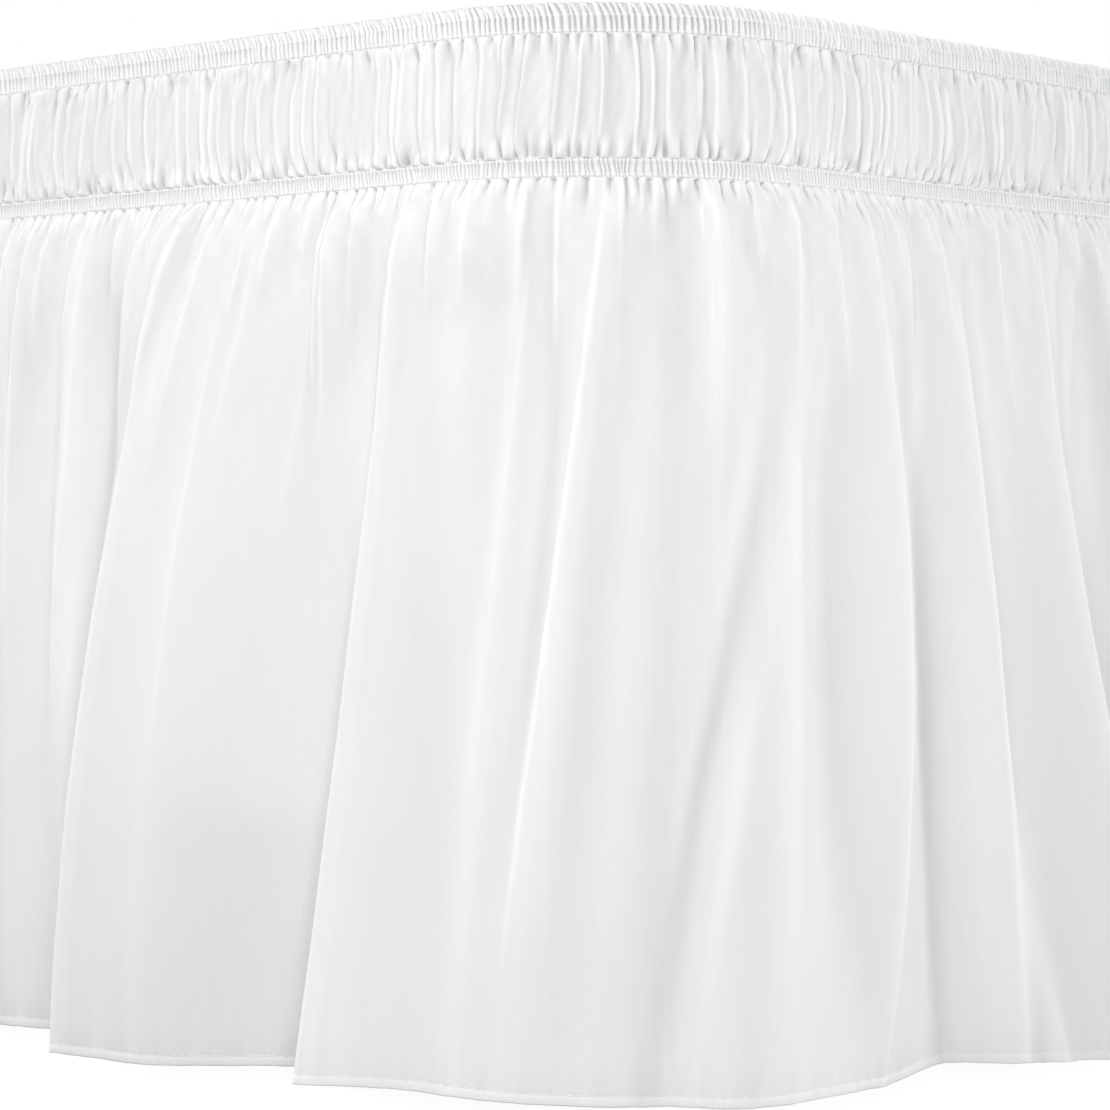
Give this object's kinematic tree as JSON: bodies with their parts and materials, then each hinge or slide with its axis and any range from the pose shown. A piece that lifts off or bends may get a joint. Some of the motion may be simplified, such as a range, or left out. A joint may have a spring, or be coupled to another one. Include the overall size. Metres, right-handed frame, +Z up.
{
  "type": "bed skirt on box spring",
  "caption": "White ruched elastic bed skirt: a shirred heading and a gathered drop in leaning folds, fitted round a plain box spring on legs.",
  "frame": {"origin": "on the floor under the middle of the bed", "axes": "+Z up, +Y along the bed from its foot to its head, +X to the right seen from the foot"},
  "size_m": [1.0988, 2.0178, 0.4157],
  "materials": {
    "microfibre": "fine brushed white microfibre, soft, with a faint lengthwise thread",
    "shirred_casing": "the same white cloth shirred tight over narrow elastic",
    "ticking": "plain off-white upholstery ticking",
    "leg_wood": "satin stained beech"
  },
  "bodies": {
    "root": {"upper_elastic": "shirred_casing", "heading": "microfibre", "lower_elastic": "shirred_casing", "panel_foot_right": "microfibre", "panel_head_right": "microfibre", "panel_head_left": "microfibre", "panel_foot_left": "microfibre", "box_spring": "ticking", "leg_foot_right": "leg_wood", "leg_head_right": "leg_wood", "leg_head_left": "leg_wood", "leg_foot_left": "leg_wood"}
  },
  "joints": []
}
